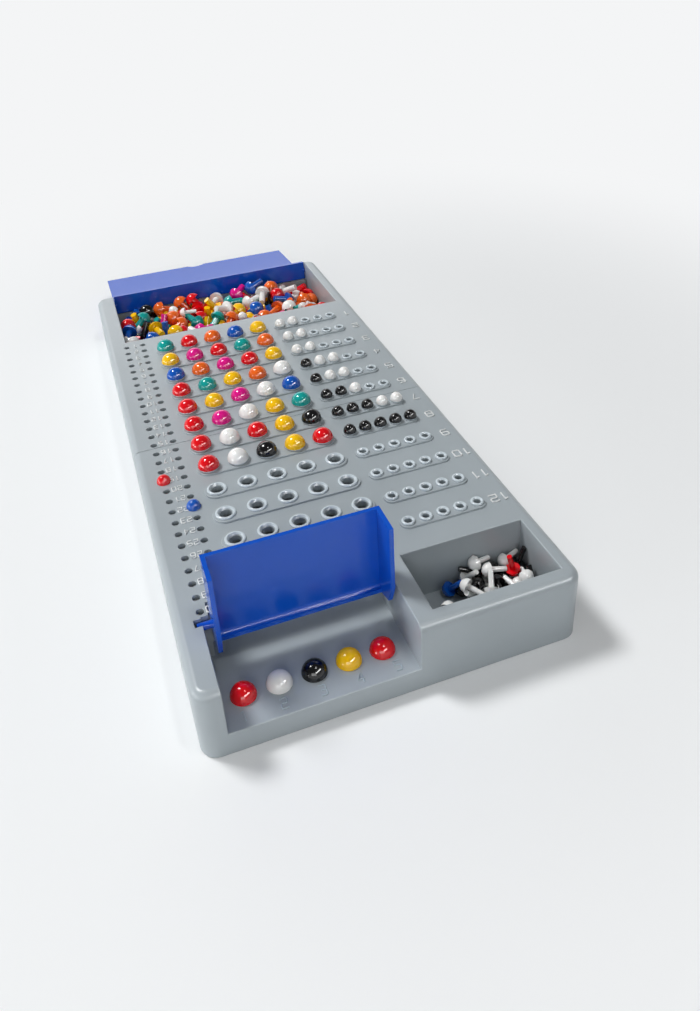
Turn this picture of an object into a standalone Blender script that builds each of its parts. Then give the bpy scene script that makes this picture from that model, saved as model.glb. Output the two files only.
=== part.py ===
"""Code breaking peg game: a grey board moulded in two halves that plug together,
a hinged code shield, a hinged lid on the peg tray, and coloured pegs.

Everything is modelled in the board's own frame: x = 0 on the left edge, y = 0 on the
front edge (the code maker's side) and z = 0 on the table. One empty carries it all and
puts the centre of the whole object's footprint on the world origin.
"""

import math

import bmesh
import bpy
from mathutils import Matrix, Vector

MM = 0.001

# Board plates, walls and edges
HEIGHT = 28.0 * MM
WALL = 2.0 * MM
DECK = 2.0 * MM
EDGE_R = 3.0 * MM
CORNER_R = 6.0 * MM
EDGE_STEPS = 3
CORNER_STEPS = 4
SEAM_GAP = 0.3 * MM
OVERRUN = 1.0 * MM

# Hole fields across the board, from the left edge to the right
LEFT_MARGIN = 9.4 * MM
SCORE_GAP = 8.4 * MM
SCORE_TO_CODE = 10.7 * MM
CODE_PITCH = 12.5 * MM
CODE_TO_KEY = 12.5 * MM
KEY_PITCH = 7.15 * MM
RIGHT_MARGIN = 16.4 * MM
COLUMNS = 5

# Stations along the board, from the front edge to the rear
BAY_LENGTH = 38.4 * MM
BAY_TO_ROWS = 10.1 * MM
ROW_PITCH = 16.0 * MM
ROWS = 12
SEAM_AFTER_ROW = 6
ROWS_TO_TRAY = 18.3 * MM
TRAY_LENGTH = 61.2 * MM
REAR_WALL = 4.0 * MM

# Score track: 30 rows of two small holes, the last row just behind the shield's notch
SCORE_ROWS = 30
SCORE_TO_STEP = 2.5 * MM
SCORE_TO_TRAY = 6.6 * MM

# Raised strips under the rows, and the rim round each code hole
STRIP_H = 0.8 * MM
KEY_STRIP_H = 1.2 * MM
RIM_H = 0.8 * MM
RIM_R = 4.05 * MM
CODE_STRIP_R = 5.15 * MM
KEY_STRIP_R = 3.4 * MM
STRIP_STEPS = 5

# Pegs: a domed head on a round stem, and the clearance that every moving fit keeps
CLEARANCE = 0.3 * MM
CODE_HEAD_R = 4.5 * MM
CODE_DOME = 4.4 * MM
CODE_STEM_R = 2.0 * MM
CODE_STEM = 8.0 * MM
KEY_HEAD_R = 2.9 * MM
KEY_DOME = 3.25 * MM
KEY_STEM_R = 1.1 * MM
KEY_STEM = 6.5 * MM
CODE_SIDES = 8
KEY_SIDES = 6
DOME_SHOULDER_SHARE = 0.62
DOME_TAPER = 0.16

# Code bay, open at the front, with the secret holes in its floor
FLOOR_TOP = 9.0 * MM
RAIL_WIDTH = 9.0 * MM
BAY_WIDTH = 65.5 * MM
SECRET_LEFT_MARGIN = 7.8 * MM
SECRET_RIGHT_MARGIN = 9.0 * MM
SECRET_Y = 12.6 * MM

# Key peg well in the block at the right front
BAY_TO_WELL = 7.0 * MM
WELL_RIGHT_RIM = 5.8 * MM
WELL_FRONT_RIM = 6.3 * MM
WELL_LENGTH = 27.7 * MM
WELL_FLOOR = 5.0 * MM

# Peg tray across the rear
TRAY_SIDE_RIM = 9.5 * MM
TRAY_RIGHT_RIM = 6.5 * MM

# Code shield: a panel with a foot flange, a cheek at each end and two hinge pins
SHIELD_T = 1.5 * MM
SHIELD_LEFT_GAP = 3.0 * MM
SHIELD_RIGHT_GAP = 1.4 * MM
SHIELD_BELOW = 6.5 * MM
SHIELD_SETBACK = 0.6 * MM
SHIELD_SWING_GAP = 1.74 * MM
SHIELD_FLANGE = 1.7 * MM
SHIELD_BEND_R = 1.5 * MM
CHEEK_DEPTH = 12.0 * MM
CHEEK_CUT_ABOVE = 3.6 * MM
CHEEK_CUT_BELOW = 4.3 * MM
CHEEK_CUT_IN = 2.9 * MM
SHIELD_PIN_R = 1.4 * MM
SHIELD_PIN_REACH = 1.7 * MM
SHIELD_PIN_DROP = 2.0 * MM
NOTCH_DEPTH = 2.6 * MM
STEP_GAP = 0.4 * MM
STEP_BACK = 2.3 * MM

# Tray lid: a panel with a hinge flange, shown swung back past a half turn
LID_T = 1.5 * MM
LID_FLANGE_T = 2.0 * MM
LID_FLANGE_H = 10.8 * MM
LID_SIDE_GAP = 0.4 * MM
LID_NEAR_GAP = 0.5 * MM
LID_PIN_R = 1.4 * MM
LID_PIN_REACH = 1.6 * MM
LID_LEAN = math.radians(5.0)
THUMB_HALF = 5.5 * MM
THUMB_DEPTH = 2.6 * MM
THUMB_STEPS = 6
PIN_SIDES = 12

# Tongues on the rear half that plug into slots in the front half's seam wall
TONGUE_WIDTH = 18.0 * MM
TONGUE_T = 3.0 * MM
TONGUE_LENGTH = 10.0 * MM
TONGUE_Z = 10.0 * MM
TONGUE_PLACE_SHARES = (0.2, 0.8)

# Code pegs in play, one entry a row, named from the left
GUESSES = {
    1: "teal red orange blue yellow",
    2: "yellow magenta red teal orange",
    3: "blue orange magenta red yellow",
    4: "red teal yellow orange white",
    5: "red yellow magenta white blue",
    6: "red magenta white yellow teal",
    7: "red white red yellow black",
    8: "red white black yellow red",
}
SECRET_CODE = "red white black yellow red"
SCORE_MARKERS = (("red", 0, 19), ("blue", 1, 22))

# Colours as linear base colour, with one roughness for the board and one for the pegs
COLOURS = {
    "grey": (0.30, 0.34, 0.36),
    "shield_blue": (0.012, 0.06, 0.34),
    "red": (0.72, 0.005, 0.012),
    "magenta": (0.76, 0.006, 0.23),
    "orange": (0.85, 0.14, 0.012),
    "yellow": (0.95, 0.56, 0.006),
    "blue": (0.006, 0.09, 0.46),
    "teal": (0.006, 0.33, 0.30),
    "white": (0.86, 0.86, 0.86),
    "black": (0.012, 0.012, 0.014),
}
BOARD_ROUGHNESS = 0.42
GLOSS_ROUGHNESS = 0.15

# Places worked out from the sizes above
SCORE_X = LEFT_MARGIN
CODE_X = LEFT_MARGIN + SCORE_GAP + SCORE_TO_CODE
KEY_X = CODE_X + (COLUMNS - 1) * CODE_PITCH + CODE_TO_KEY
WIDTH = KEY_X + (COLUMNS - 1) * KEY_PITCH + RIGHT_MARGIN
LAST_ROW_Y = BAY_LENGTH + BAY_TO_ROWS
TRAY_FRONT = LAST_ROW_Y + (ROWS - 1) * ROW_PITCH + ROWS_TO_TRAY
TRAY_REAR = TRAY_FRONT + TRAY_LENGTH
TRAY_RIGHT = WIDTH - TRAY_RIGHT_RIM
LENGTH = TRAY_REAR + REAR_WALL
SEAM_Y = LAST_ROW_Y + (ROWS - SEAM_AFTER_ROW - 0.5) * ROW_PITCH
DECK_UNDER = HEIGHT - DECK
FLOOR_UNDER = FLOOR_TOP - WALL
BAY_RIGHT = RAIL_WIDTH + BAY_WIDTH
WELL_LEFT = BAY_RIGHT + BAY_TO_WELL
WELL_RIGHT = WIDTH - WELL_RIGHT_RIM
WELL_REAR = WELL_FRONT_RIM + WELL_LENGTH

SHIELD_LEFT = RAIL_WIDTH + SHIELD_LEFT_GAP
SHIELD_RIGHT = BAY_RIGHT - SHIELD_RIGHT_GAP
SHIELD_AXIS_Y = BAY_LENGTH - SHIELD_SWING_GAP - math.hypot(SHIELD_BELOW, SHIELD_T / 2)
SHIELD_AXIS_Z = HEIGHT - SHIELD_PIN_DROP
SHIELD_ABOVE = SHIELD_AXIS_Y - SHIELD_SETBACK
STEP_X = SHIELD_LEFT - STEP_GAP
STEP_Y = SHIELD_AXIS_Y + STEP_BACK
SCORE_LAST_Y = STEP_Y + SCORE_TO_STEP
SCORE_PITCH = (TRAY_FRONT - SCORE_TO_TRAY - SCORE_LAST_Y) / (SCORE_ROWS - 1)

LID_AXIS_Y = LENGTH - REAR_WALL / 2
LID_AXIS_Z = HEIGHT - LID_FLANGE_H / 2
LID_LEFT = TRAY_SIDE_RIM + LID_SIDE_GAP
LID_RIGHT = TRAY_RIGHT - LID_SIDE_GAP
LID_REACH = LID_AXIS_Y - TRAY_FRONT - LID_NEAR_GAP
REAR_WALL_TOP = (LID_AXIS_Z - CLEARANCE - LID_FLANGE_H / 2 / math.cos(LID_LEAN)
                 - (LENGTH - LID_AXIS_Y) * math.tan(LID_LEAN))


def clear_scene():
    """Removes whatever the scene holds."""
    for thing in list(bpy.data.objects):
        bpy.data.objects.remove(thing, do_unlink=True)


def make_material(name, colour, roughness):
    """A plain Principled material."""
    material = bpy.data.materials.new(name)
    material.use_nodes = True
    shader = material.node_tree.nodes["Principled BSDF"]
    shader.inputs["Base Color"].default_value = (*colour, 1.0)
    shader.inputs["Roughness"].default_value = roughness
    shader.inputs["Metallic"].default_value = 0.0
    return material


def make_object(name, mesh_data, material, parent=None, place=(0.0, 0.0, 0.0)):
    """Turns a bmesh into a named object."""
    bmesh.ops.recalc_face_normals(mesh_data, faces=mesh_data.faces)
    mesh = bpy.data.meshes.new(name)
    mesh_data.to_mesh(mesh)
    mesh_data.free()
    if material:
        mesh.materials.append(material)
    thing = bpy.data.objects.new(name, mesh)
    bpy.context.collection.objects.link(thing)
    thing.parent = parent
    thing.location = place
    return thing


def combine(target, other, operation):
    """Applies an exact boolean and removes the second object."""
    modifier = target.modifiers.new(operation.lower(), "BOOLEAN")
    modifier.operation = operation
    modifier.solver = "EXACT"
    modifier.object = other
    bpy.context.view_layer.objects.active = target
    bpy.ops.object.modifier_apply(modifier=modifier.name)
    bpy.data.objects.remove(other, do_unlink=True)


def add_box(mesh_data, low, high):
    """Adds a closed box between two corners."""
    size = Vector(high) - Vector(low)
    centre = (Vector(high) + Vector(low)) / 2
    matrix = Matrix.Translation(centre) @ Matrix.Diagonal((*size, 1.0))
    bmesh.ops.create_cube(mesh_data, size=1.0, matrix=matrix)


def add_prism(mesh_data, outline, start, end, along):
    """Adds a closed prism: an outline of (u, v) points swept from start to end."""
    place = {
        "x": lambda u, v, w: (w, u, v),
        "z": lambda u, v, w: (u, v, w),
    }[along]
    lower = [mesh_data.verts.new(place(u, v, start)) for u, v in outline]
    upper = [mesh_data.verts.new(place(u, v, end)) for u, v in outline]
    mesh_data.faces.new(lower)
    mesh_data.faces.new(upper)
    count = len(outline)
    for index in range(count):
        after = (index + 1) % count
        mesh_data.faces.new((lower[index], lower[after], upper[after], upper[index]))


def arc(centre, radius, start, end, steps):
    """Points on a round arc, both ends included; angles in quarter turns."""
    points = []
    for index in range(steps + 1):
        angle = (start + (end - start) * index / steps) * math.pi / 2
        points.append((centre[0] + radius * math.cos(angle),
                       centre[1] + radius * math.sin(angle)))
    return points


def ring_outline(centre, radius, sides):
    """A regular polygon with a corner on the x axis."""
    return arc(centre, radius, 0, 4 * (sides - 1) / sides, sides - 1)


def strip_outline(x_first, x_last, y, radius):
    """A straight strip with round ends."""
    right = arc((x_last, y), radius, -1, 1, STRIP_STEPS)
    left = arc((x_first, y), radius, 1, 3, STRIP_STEPS)
    return right + left


def hole_radius(stem_r, sides):
    """Corner radius of a hole whose flats clear a stem all round."""
    return stem_r + CLEARANCE / math.cos(math.pi / sides)


def row_y(row):
    """Row 1 is the farthest from the code maker."""
    return LAST_ROW_Y + (ROWS - row) * ROW_PITCH


def score_y(row):
    """Score row 1 is the farthest too."""
    return SCORE_LAST_Y + (SCORE_ROWS - row) * SCORE_PITCH


def code_x(column):
    return CODE_X + column * CODE_PITCH


def key_x(column):
    return KEY_X + column * KEY_PITCH


def secret_x(column):
    first = RAIL_WIDTH + SECRET_LEFT_MARGIN
    last = BAY_RIGHT - SECRET_RIGHT_MARGIN
    return first + (last - first) * column / (COLUMNS - 1)


def half_shell(name, y_low, y_high, round_front, material, parent):
    """The outer block of one half, its free corners and top edges rounded, hollow below."""
    if round_front:
        seam = y_high
        outline = [(WIDTH, seam), (0.0, seam)]
        outline += arc((CORNER_R, y_low + CORNER_R), CORNER_R, 2, 3, CORNER_STEPS)
        outline += arc((WIDTH - CORNER_R, y_low + CORNER_R), CORNER_R, 3, 4, CORNER_STEPS)
    else:
        seam = y_low
        outline = [(0.0, seam), (WIDTH, seam)]
        outline += arc((WIDTH - CORNER_R, y_high - CORNER_R), CORNER_R, 0, 1, CORNER_STEPS)
        outline += arc((CORNER_R, y_high - CORNER_R), CORNER_R, 1, 2, CORNER_STEPS)
    body = bmesh.new()
    add_prism(body, outline, 0.0, HEIGHT, "z")
    tolerance = OVERRUN / 100
    top_edges = [
        edge for edge in body.edges
        if all(abs(vertex.co.z - HEIGHT) < tolerance for vertex in edge.verts)
        and not all(abs(vertex.co.y - seam) < tolerance for vertex in edge.verts)
    ]
    bmesh.ops.bevel(body, geom=top_edges, offset=EDGE_R, segments=EDGE_STEPS,
                    profile=0.5, affect="EDGES")
    shell = make_object(name, body, material, parent)
    hollow = bmesh.new()
    add_box(hollow, (WALL, y_low + WALL, -OVERRUN), (WIDTH - WALL, y_high - WALL, DECK_UNDER))
    combine(shell, make_object("hollow", hollow, None, parent), "DIFFERENCE")
    return shell


def add_strips_and_rims(shell, rows, parent):
    """Raised strips under each row, then a rim round each code hole."""
    strips = bmesh.new()
    rims = bmesh.new()
    sunk = DECK_UNDER + DECK / 2
    for row in rows:
        y = row_y(row)
        outline = strip_outline(code_x(0), code_x(COLUMNS - 1), y, CODE_STRIP_R)
        add_prism(strips, outline, sunk, HEIGHT + STRIP_H, "z")
        outline = strip_outline(key_x(0), key_x(COLUMNS - 1), y, KEY_STRIP_R)
        add_prism(strips, outline, sunk, HEIGHT + KEY_STRIP_H, "z")
        for column in range(COLUMNS):
            outline = ring_outline((code_x(column), y), RIM_R, CODE_SIDES)
            add_prism(rims, outline, sunk, HEIGHT + STRIP_H + RIM_H, "z")
    combine(shell, make_object("strips", strips, None, parent), "UNION")
    combine(shell, make_object("rims", rims, None, parent), "UNION")


def cut_holes(shell, rows, score_rows, parent):
    """Code, key and score holes, each deep enough for a stem wherever a wall is below."""
    holes = bmesh.new()
    top = HEIGHT + STRIP_H + RIM_H + OVERRUN
    code_r = hole_radius(CODE_STEM_R, CODE_SIDES)
    key_r = hole_radius(KEY_STEM_R, KEY_SIDES)
    for row in rows:
        for column in range(COLUMNS):
            outline = ring_outline((code_x(column), row_y(row)), code_r, CODE_SIDES)
            add_prism(holes, outline, HEIGHT - CODE_STEM, top, "z")
            outline = ring_outline((key_x(column), row_y(row)), key_r, KEY_SIDES)
            add_prism(holes, outline, HEIGHT - KEY_STEM, top, "z")
    for row in score_rows:
        for column in range(2):
            if column == 1 and score_y(row) - key_r < BAY_LENGTH:
                continue
            centre = (SCORE_X + column * SCORE_GAP, score_y(row))
            outline = ring_outline(centre, key_r, KEY_SIDES)
            add_prism(holes, outline, HEIGHT - KEY_STEM - CLEARANCE, top, "z")
    combine(shell, make_object("holes", holes, None, parent), "DIFFERENCE")


def build_front_half(material, parent):
    """Front half: code bay, key peg well, rows 7 to 12 and score rows 16 to 30."""
    y_high = SEAM_Y - SEAM_GAP / 2
    shell = half_shell("front_half", 0.0, y_high, True, material, parent)
    middle = DECK_UNDER + DECK / 2
    tubs = bmesh.new()
    add_box(tubs, (RAIL_WIDTH - WALL, WALL / 2, FLOOR_UNDER),
            (BAY_RIGHT + WALL, STEP_Y + WALL, middle))
    combine(shell, make_object("bay_tub", tubs, None, parent), "UNION")
    tubs = bmesh.new()
    add_box(tubs, (STEP_X - WALL, STEP_Y, FLOOR_UNDER),
            (BAY_RIGHT + WALL, BAY_LENGTH + WALL, middle))
    combine(shell, make_object("bay_rear_tub", tubs, None, parent), "UNION")
    tubs = bmesh.new()
    add_box(tubs, (WELL_LEFT - WALL, WELL_FRONT_RIM - WALL, WELL_FLOOR - WALL),
            (WELL_RIGHT + WALL, WELL_REAR + WALL, middle))
    combine(shell, make_object("well_tub", tubs, None, parent), "UNION")
    rows = range(SEAM_AFTER_ROW + 1, ROWS + 1)
    add_strips_and_rims(shell, rows, parent)

    bay = bmesh.new()
    outline = [
        (RAIL_WIDTH, -OVERRUN), (BAY_RIGHT, -OVERRUN), (BAY_RIGHT, BAY_LENGTH),
        (STEP_X, BAY_LENGTH), (STEP_X, STEP_Y), (RAIL_WIDTH, STEP_Y),
    ]
    add_prism(bay, outline, FLOOR_TOP, HEIGHT + OVERRUN, "z")
    add_box(bay, (WELL_LEFT, WELL_FRONT_RIM, WELL_FLOOR),
            (WELL_RIGHT, WELL_REAR, HEIGHT + OVERRUN))
    combine(shell, make_object("bay_and_well", bay, None, parent), "DIFFERENCE")

    notches = bmesh.new()
    half = SHIELD_PIN_R + CLEARANCE
    for x_low, x_high in (
        (RAIL_WIDTH - NOTCH_DEPTH, RAIL_WIDTH + OVERRUN),
        (BAY_RIGHT - OVERRUN, BAY_RIGHT + NOTCH_DEPTH),
    ):
        add_box(notches, (x_low, SHIELD_AXIS_Y - half, SHIELD_AXIS_Z - half),
                (x_high, SHIELD_AXIS_Y + half, HEIGHT + OVERRUN))
    code_r = hole_radius(CODE_STEM_R, CODE_SIDES)
    for column in range(COLUMNS):
        outline = ring_outline((secret_x(column), SECRET_Y), code_r, CODE_SIDES)
        add_prism(notches, outline, FLOOR_UNDER - OVERRUN, FLOOR_TOP + OVERRUN, "z")
    for share in TONGUE_PLACE_SHARES:
        reach = TONGUE_WIDTH / 2 + CLEARANCE
        add_box(notches, (share * WIDTH - reach, y_high - WALL - OVERRUN,
                          TONGUE_Z - CLEARANCE),
                (share * WIDTH + reach, y_high + OVERRUN, TONGUE_Z + TONGUE_T + CLEARANCE))
    combine(shell, make_object("notches", notches, None, parent), "DIFFERENCE")
    split = SCORE_ROWS // 2
    cut_holes(shell, rows, range(split + 1, SCORE_ROWS + 1), parent)
    return shell


def build_rear_half(material, parent):
    """Rear half: peg tray, rows 1 to 6, score rows 1 to 15 and the plug-in tongues."""
    y_low = SEAM_Y + SEAM_GAP / 2
    shell = half_shell("rear_half", y_low, LENGTH, False, material, parent)
    tub = bmesh.new()
    add_box(tub, (TRAY_SIDE_RIM - WALL, TRAY_FRONT - WALL, FLOOR_UNDER),
            (TRAY_RIGHT + WALL, LENGTH - WALL / 2, DECK_UNDER + DECK / 2))
    combine(shell, make_object("tray_tub", tub, None, parent), "UNION")
    tongues = bmesh.new()
    for share in TONGUE_PLACE_SHARES:
        add_box(tongues, (share * WIDTH - TONGUE_WIDTH / 2, y_low - TONGUE_LENGTH, TONGUE_Z),
                (share * WIDTH + TONGUE_WIDTH / 2, y_low + WALL / 2, TONGUE_Z + TONGUE_T))
    combine(shell, make_object("tongues", tongues, None, parent), "UNION")
    rows = range(1, SEAM_AFTER_ROW + 1)
    add_strips_and_rims(shell, rows, parent)

    tray = bmesh.new()
    outline = [
        (TRAY_FRONT, FLOOR_TOP), (TRAY_REAR, FLOOR_TOP), (TRAY_REAR, REAR_WALL_TOP),
        (LENGTH + OVERRUN, REAR_WALL_TOP), (LENGTH + OVERRUN, HEIGHT + OVERRUN),
        (TRAY_FRONT, HEIGHT + OVERRUN),
    ]
    add_prism(tray, outline, TRAY_SIDE_RIM, TRAY_RIGHT, "x")
    combine(shell, make_object("tray", tray, None, parent), "DIFFERENCE")
    sockets = bmesh.new()
    socket_r = hole_radius(LID_PIN_R, PIN_SIDES)
    outline = ring_outline((LID_AXIS_Y, LID_AXIS_Z), socket_r, PIN_SIDES)
    add_prism(sockets, outline, TRAY_SIDE_RIM - WALL - OVERRUN, TRAY_SIDE_RIM + OVERRUN, "x")
    add_prism(sockets, outline, TRAY_RIGHT - OVERRUN, TRAY_RIGHT + WALL + OVERRUN, "x")
    combine(shell, make_object("sockets", sockets, None, parent), "DIFFERENCE")
    cut_holes(shell, rows, range(1, SCORE_ROWS // 2 + 1), parent)
    return shell


def build_shield(material, parent):
    """Code shield, standing; its origin is on the hinge pins' axis."""
    front = -SHIELD_T / 2
    back = SHIELD_T / 2
    bottom = -SHIELD_BELOW
    left = 0.0
    right = SHIELD_RIGHT - SHIELD_LEFT
    panel = bmesh.new()
    bend = arc((front - SHIELD_BEND_R, bottom + SHIELD_T + SHIELD_BEND_R),
               SHIELD_BEND_R, 4, 3, 3)
    outline = [(back, bottom), (back, SHIELD_ABOVE), (front, SHIELD_ABOVE)] + bend
    outline += [(front - SHIELD_FLANGE, bottom + SHIELD_T), (front - SHIELD_FLANGE, bottom)]
    add_prism(panel, outline, left + SHIELD_T / 2, right - SHIELD_T / 2, "x")
    shield = make_object("code_shield", panel, material, parent,
                         (SHIELD_LEFT, SHIELD_AXIS_Y, SHIELD_AXIS_Z))
    holder = dict(material=None, parent=parent, place=shield.location)
    cheeks = bmesh.new()
    tip = front - CHEEK_DEPTH + SHIELD_T / 2
    outline = [
        (back, bottom), (back, SHIELD_ABOVE), (tip, SHIELD_ABOVE), (tip, CHEEK_CUT_ABOVE),
        (tip + CHEEK_CUT_IN, -CHEEK_CUT_BELOW), (front - SHIELD_FLANGE, bottom),
    ]
    add_prism(cheeks, outline, left, left + SHIELD_T, "x")
    add_prism(cheeks, outline, right - SHIELD_T, right, "x")
    combine(shield, make_object("cheeks", cheeks, **holder), "UNION")
    pins = bmesh.new()
    outline = ring_outline((0.0, 0.0), SHIELD_PIN_R, PIN_SIDES)
    add_prism(pins, outline, left - SHIELD_LEFT_GAP - SHIELD_PIN_REACH,
              left + SHIELD_T / 2, "x")
    add_prism(pins, outline, right - SHIELD_T / 2,
              right + SHIELD_RIGHT_GAP + SHIELD_PIN_REACH, "x")
    combine(shield, make_object("pins", pins, **holder), "UNION")
    return shield


def build_lid(material, parent):
    """Peg tray lid; its origin is on the pins' axis, and it lies open behind the board."""
    right = LID_RIGHT - LID_LEFT
    top = LID_FLANGE_H / 2
    middle = right / 2
    panel = bmesh.new()
    thumb = []
    for index in range(THUMB_STEPS + 1):
        angle = math.pi * index / THUMB_STEPS
        thumb.append((middle - THUMB_HALF * math.cos(angle),
                      -LID_REACH + THUMB_DEPTH * math.sin(angle)))
    outline = [(right, 0.0), (0.0, 0.0), (0.0, -LID_REACH)] + thumb + [(right, -LID_REACH)]
    add_prism(panel, outline, top - LID_T, top, "z")
    lid = make_object("peg_tray_lid", panel, material, parent,
                      (LID_LEFT, LID_AXIS_Y, LID_AXIS_Z))
    holder = dict(material=None, parent=parent, place=lid.location)
    flange = bmesh.new()
    add_box(flange, (0.0, -LID_FLANGE_T / 2, -top), (right, LID_FLANGE_T / 2, top))
    combine(lid, make_object("flange", flange, **holder), "UNION")
    pins = bmesh.new()
    outline = ring_outline((0.0, 0.0), LID_PIN_R, PIN_SIDES)
    reach = LID_SIDE_GAP + LID_PIN_REACH
    add_prism(pins, outline, -reach, LID_FLANGE_T / 2, "x")
    add_prism(pins, outline, right - LID_FLANGE_T / 2, right + reach, "x")
    combine(lid, make_object("lid_pins", pins, **holder), "UNION")
    lid.rotation_euler = (-math.pi - LID_LEAN, 0.0, 0.0)
    return lid


def peg_sizes(kind):
    """Head radius, dome height, stem radius and stem length of a peg."""
    if kind == "code":
        return CODE_HEAD_R, CODE_DOME, CODE_STEM_R, CODE_STEM
    return KEY_HEAD_R, KEY_DOME, KEY_STEM_R, KEY_STEM


def build_peg(name, kind, sides, material, parent, place):
    """One peg: stem below its origin, domed head above it."""
    head_r, dome, stem_r, stem = peg_sizes(kind)
    shoulder_r = head_r * (math.sqrt(1 - DOME_SHOULDER_SHARE ** 2)
                           * (1 - DOME_TAPER * DOME_SHOULDER_SHARE))
    profile = [
        (stem_r, -stem), (stem_r, 0.0), (head_r, 0.0),
        (shoulder_r, dome * DOME_SHOULDER_SHARE),
    ]
    peg = bmesh.new()
    rings = [[peg.verts.new((x, y, z)) for x, y in ring_outline((0.0, 0.0), radius, sides)]
             for radius, z in profile]
    apex = peg.verts.new((0.0, 0.0, dome))
    peg.faces.new(rings[0])
    for lower, upper in zip(rings, rings[1:]):
        for index in range(sides):
            after = (index + 1) % sides
            peg.faces.new((lower[index], lower[after], upper[after], upper[index]))
    for index in range(sides):
        peg.faces.new((rings[-1][index], rings[-1][(index + 1) % sides], apex))
    return make_object(name, peg, material, parent, place)


def build_pegs(materials, parent):
    """Pegs standing in the guess rows, in the code bay and in the score track."""
    code_z = HEIGHT + STRIP_H + RIM_H + CLEARANCE
    for row, guess in GUESSES.items():
        for column, colour in enumerate(guess.split()):
            build_peg(f"guess_{row}_peg_{column + 1}", "code", CODE_SIDES,
                      materials[colour], parent, (code_x(column), row_y(row), code_z))
    for column, colour in enumerate(SECRET_CODE.split()):
        build_peg(f"secret_peg_{column + 1}", "code", CODE_SIDES, materials[colour], parent,
                  (secret_x(column), SECRET_Y, FLOOR_TOP + CLEARANCE))
    for colour, column, row in SCORE_MARKERS:
        build_peg(f"score_marker_{colour}", "key", KEY_SIDES, materials[colour], parent,
                  (SCORE_X + column * SCORE_GAP, score_y(row), HEIGHT + CLEARANCE))


def centre_on_origin(frame):
    """Moves the carrying empty so that the object's footprint is centred on the origin."""
    bpy.context.view_layer.update()
    points = [thing.matrix_world @ vertex.co
              for thing in bpy.data.objects if thing.type == "MESH"
              for vertex in thing.data.vertices]
    for axis in (0, 1):
        values = [point[axis] for point in points]
        frame.location[axis] -= (min(values) + max(values)) / 2
    bpy.context.view_layer.update()


def main():
    clear_scene()
    frame = bpy.data.objects.new("board_frame", None)
    bpy.context.collection.objects.link(frame)
    materials = {
        name: make_material(name, colour,
                            BOARD_ROUGHNESS if name == "grey" else GLOSS_ROUGHNESS)
        for name, colour in COLOURS.items()
    }
    build_front_half(materials["grey"], frame)
    build_rear_half(materials["grey"], frame)
    build_shield(materials["shield_blue"], frame)
    build_lid(materials["shield_blue"], frame)
    build_pegs(materials, frame)
    centre_on_origin(frame)
    for thing in bpy.data.objects:
        if thing.type == "MESH":
            triangles = sum(len(face.vertices) - 2 for face in thing.data.polygons)
            place = [round(value / MM, 2) for value in thing.matrix_world.translation]
            print(f"{thing.name}: {triangles} triangles, origin {place} mm")


main()
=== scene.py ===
# %% [markdown]
# # A code breaking peg game
# One player hides a row of coloured pegs behind the blue shield, the other guesses it row by row.
# The board is a long box of grey plastic, open below, moulded in two halves that plug together.
# This script dresses the fixed solids of the part: each solid keeps its place, and finer pieces
# with their real finishes stand for it. We start by loading that frame and noting its size.

# %% Load the frame
import math

import bpy
from mathutils import Euler, Matrix, Vector


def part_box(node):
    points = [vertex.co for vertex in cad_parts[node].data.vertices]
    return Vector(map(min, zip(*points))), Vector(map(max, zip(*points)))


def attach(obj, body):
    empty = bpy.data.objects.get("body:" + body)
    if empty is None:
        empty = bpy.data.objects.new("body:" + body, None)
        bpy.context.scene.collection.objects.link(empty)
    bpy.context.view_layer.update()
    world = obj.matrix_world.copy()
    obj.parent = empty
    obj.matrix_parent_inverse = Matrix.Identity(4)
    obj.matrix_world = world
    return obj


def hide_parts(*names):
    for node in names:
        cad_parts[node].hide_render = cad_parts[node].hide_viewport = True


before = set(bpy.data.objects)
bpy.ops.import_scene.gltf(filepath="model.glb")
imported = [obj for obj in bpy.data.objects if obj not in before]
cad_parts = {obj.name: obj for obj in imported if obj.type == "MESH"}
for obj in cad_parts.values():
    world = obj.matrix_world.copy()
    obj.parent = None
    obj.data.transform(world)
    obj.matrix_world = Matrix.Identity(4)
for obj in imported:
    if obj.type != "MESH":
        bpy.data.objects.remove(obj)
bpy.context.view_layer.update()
MM = 0.001

# %% [markdown]
# ## Where things are
# The maker measures the board from its own front left corner, in millimetres, with z = 0 on the
# table. The frame puts the middle of the whole object on the origin instead. One helper turns
# board millimetres into the frame's metres, so every size below reads like a workshop drawing.

# %% Board sizes
board_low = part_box("front_half")[0]
board_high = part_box("rear_half")[1]
WIDTH = (board_high.x - board_low.x) / MM
LENGTH = (board_high.y - board_low.y) / MM
HEIGHT = 28.0
DECK = 2.0
WALL = 2.0
FLOOR_TOP = 9.0
WELL_FLOOR = 5.0
EDGE_R = 3.0
CORNER_R = 6.0

SCORE_X, SCORE_GAP, SCORE_PITCH, SCORE_LAST_Y = 9.4, 8.4, 6.94, 34.91
SCORE_ROWS = 30
CODE_X, CODE_PITCH = 28.5, 12.5
KEY_X, KEY_PITCH = 91.0, 7.15
COLUMNS, ROWS, ROW_PITCH, LAST_ROW_Y = 5, 12, 16.0, 48.5
SEAM_ROW, SEAM_GAP = 6, 0.3
SEAM_Y = LAST_ROW_Y + (ROWS - SEAM_ROW - 0.5) * ROW_PITCH
# A cutter runs this far past the surface it opens; heights this near each other count as one
OVERRUN, NEAR = 1.0, 0.01
# The rows and the score rows that each half carries
FRONT_ROWS, REAR_ROWS = range(SEAM_ROW + 1, ROWS + 1), range(1, SEAM_ROW + 1)
FRONT_SCORE, REAR_SCORE = range(16, SCORE_ROWS + 1), range(1, 16)


def at(x, y, z):
    """A point of the board, in millimetres, as a place in the frame, in metres."""
    return Vector((board_low.x + x * MM, board_low.y + y * MM, z * MM))


def row_y(row):
    return LAST_ROW_Y + (ROWS - row) * ROW_PITCH


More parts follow.
